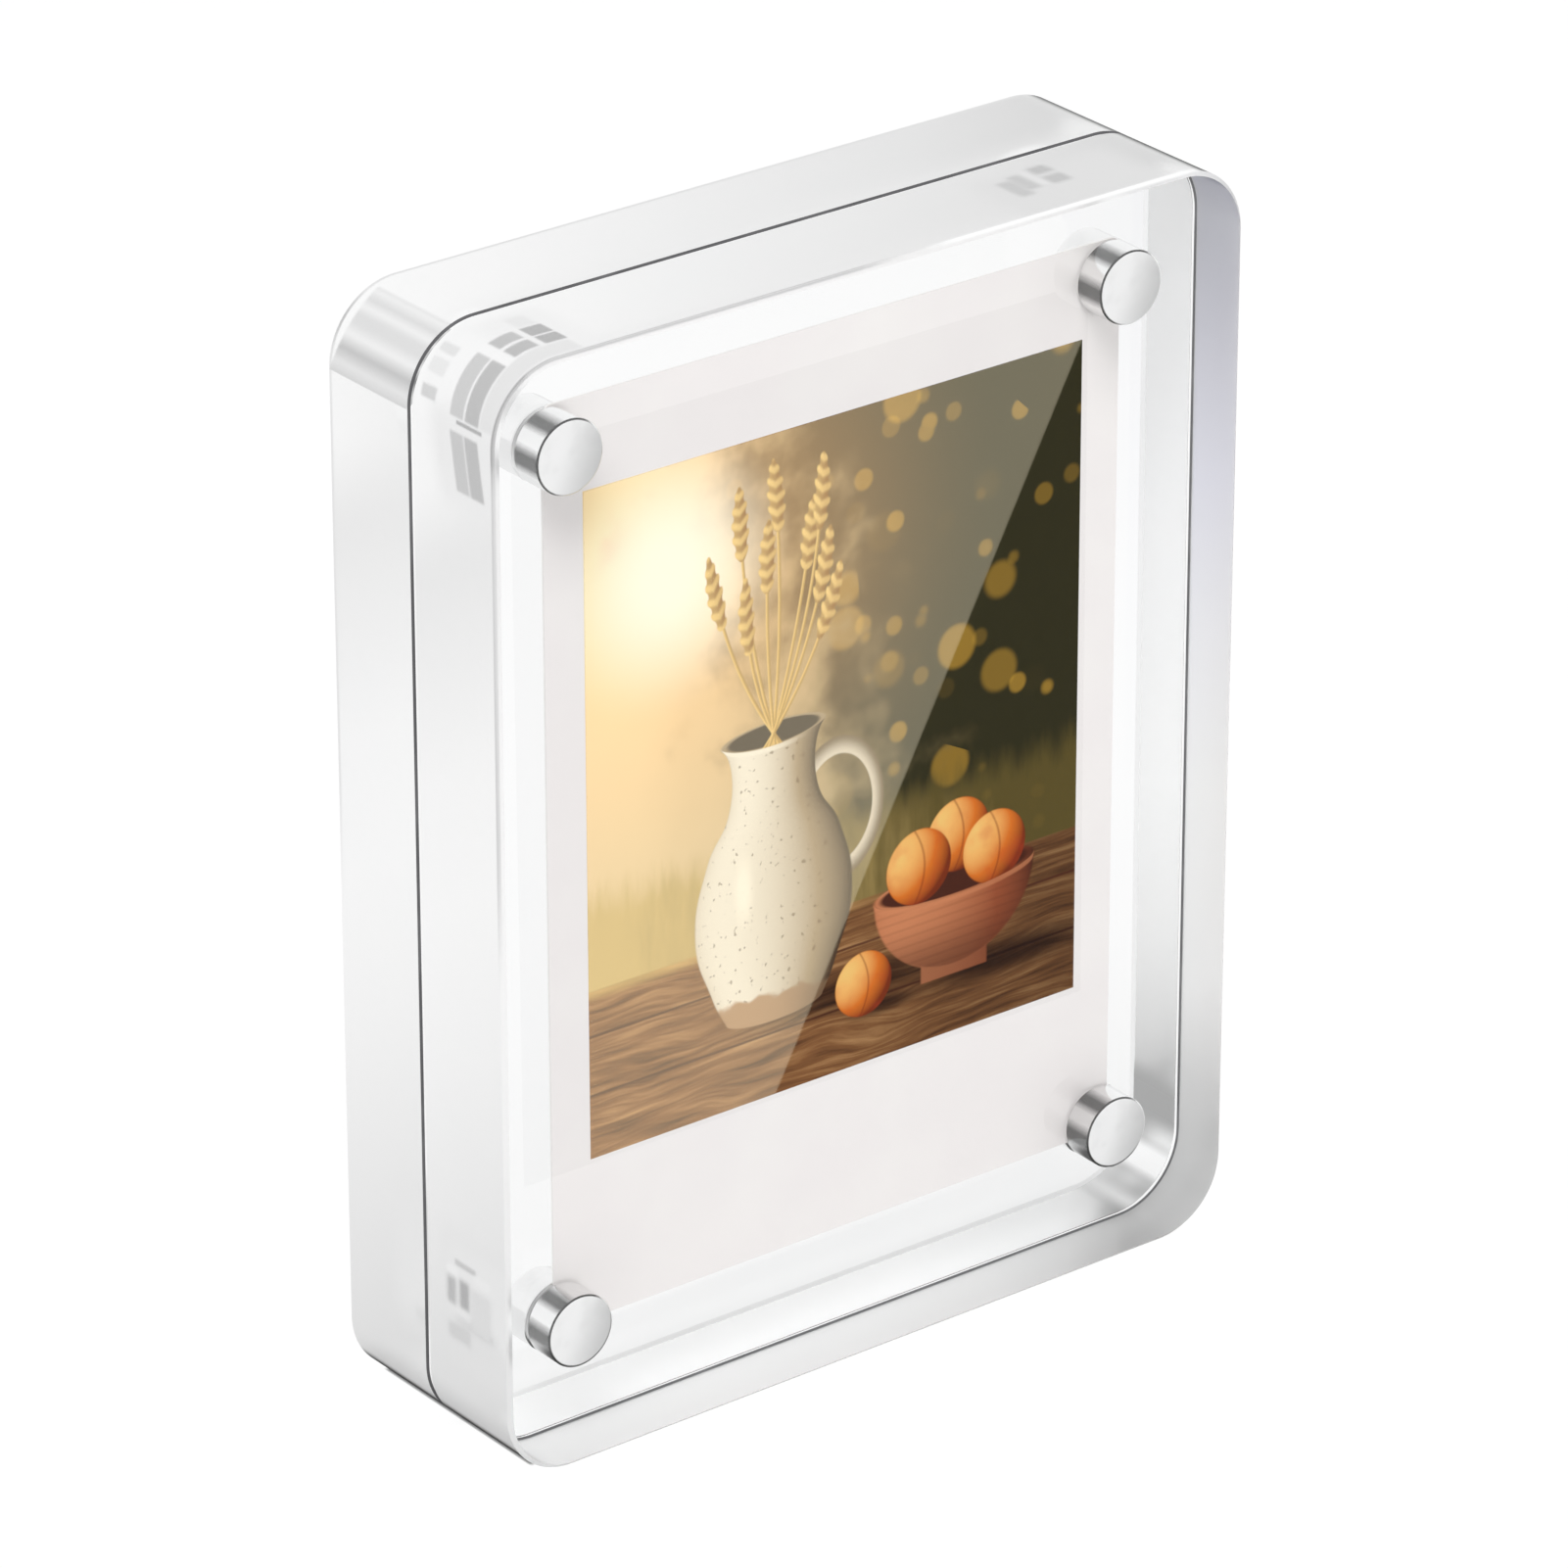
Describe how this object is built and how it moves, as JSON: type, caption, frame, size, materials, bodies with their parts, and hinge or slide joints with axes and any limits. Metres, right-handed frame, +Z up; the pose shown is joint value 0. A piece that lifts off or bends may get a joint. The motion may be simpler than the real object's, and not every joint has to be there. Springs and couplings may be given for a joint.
{
  "type": "acrylic block frame",
  "caption": "Free-standing photo frame of clear acrylic blocks with rounded corners that clamp a bordered print, held together by disc magnets in blind pockets near the corners.",
  "frame": {"origin": "middle of the footprint, on the surface that the frame stands on", "axes": "+Z up, +X to the right as seen from the front, +Y to the back, so the picture faces -Y"},
  "size_m": [0.082, 0.0242, 0.106],
  "materials": {
    "clear_acrylic": "clear, polished on every face",
    "nickel_plating": "bright nickel plating",
    "print_border": "satin white",
    "print_image": "satin photo surface",
    "print_backing": "matt white"
  },
  "bodies": {
    "back": {"back_block": "clear_acrylic", "back_magnet_top_left": "nickel_plating", "back_magnet_top_right": "nickel_plating", "back_magnet_bottom_left": "nickel_plating", "back_magnet_bottom_right": "nickel_plating"},
    "front": {"front_block": "clear_acrylic", "front_magnet_top_left": "nickel_plating", "front_magnet_top_right": "nickel_plating", "front_magnet_bottom_left": "nickel_plating", "front_magnet_bottom_right": "nickel_plating"},
    "print": {"print_border": "print_border", "print_image": "print_image", "print_backing": "print_backing"}
  },
  "joints": [
    {"name": "front_pull", "type": "slide", "parent": "back", "child": "front", "axis": [0, -1, 0], "range_m": [0, 0.06]},
    {"name": "print_lift", "type": "slide", "parent": "back", "child": "print", "axis": [0, 0, 1], "range_m": [0, 0.1]}
  ]
}
